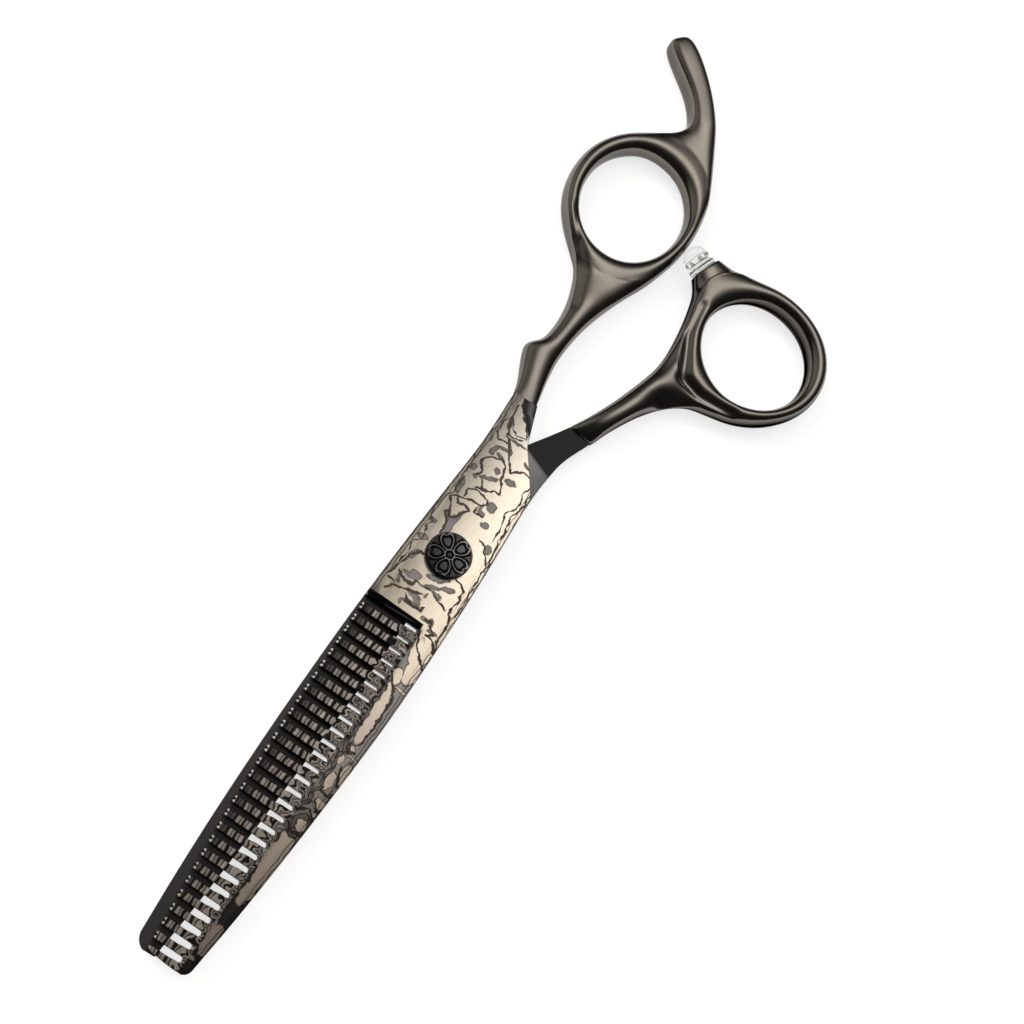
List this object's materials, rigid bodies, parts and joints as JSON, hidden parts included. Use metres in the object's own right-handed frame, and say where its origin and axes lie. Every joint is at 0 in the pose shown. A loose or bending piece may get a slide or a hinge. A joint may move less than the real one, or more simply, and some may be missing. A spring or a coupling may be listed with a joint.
{
  "type": "thinning shears",
  "caption": "Thinning shears: a toothed comb blade pivots over a plain blade, with forged offset handles, finger rings, a fixed finger rest, a clear bumper and a round tension screw.",
  "frame": {"origin": "on the pivot axis, at the pivot nut's flat outer face, which is the surface the closed shears lie on", "axes": "+Z along the pivot axis from the plain blade to the comb blade, +Y from the pivot to the finger rings, the blade tip at -Y, +X towards the thumb ring's side"},
  "size_m": [0.0568, 0.18, 0.0058],
  "materials": {
    "pattern_steel": "etched layered steel pattern, champagne and grey with dark lines",
    "dark_steel": "black satin coating, ground cutting bevel",
    "gunmetal": "polished gunmetal",
    "black_screw": "black with raised petal outlines",
    "nut_steel": "satin",
    "spring_steel": "satin",
    "nylon": "matte",
    "silicone": "clear, glossy"
  },
  "bodies": {
    "finger_half": {"comb_blade": "pattern_steel", "finger_handle": "gunmetal", "slip_washer": "nylon"},
    "thumb_half": {"plain_blade": "dark_steel", "thumb_handle": "gunmetal", "bumper": "silicone", "pivot_nut": "nut_steel"},
    "screw_set": {"tension_screw": "black_screw", "spring_washer": "spring_steel"}
  },
  "joints": [
    {"name": "blade_pivot", "type": "hinge", "parent": "finger_half", "child": "thumb_half", "pos_m": [0, 0, 0], "axis": [0, 0, -1], "range_deg": [0, 55]},
    {"name": "tension_dial", "type": "hinge", "parent": "thumb_half", "child": "screw_set", "pos_m": [0, 0, 0], "axis": [0, 0, 1], "range_deg": [-45, 45]}
  ]
}
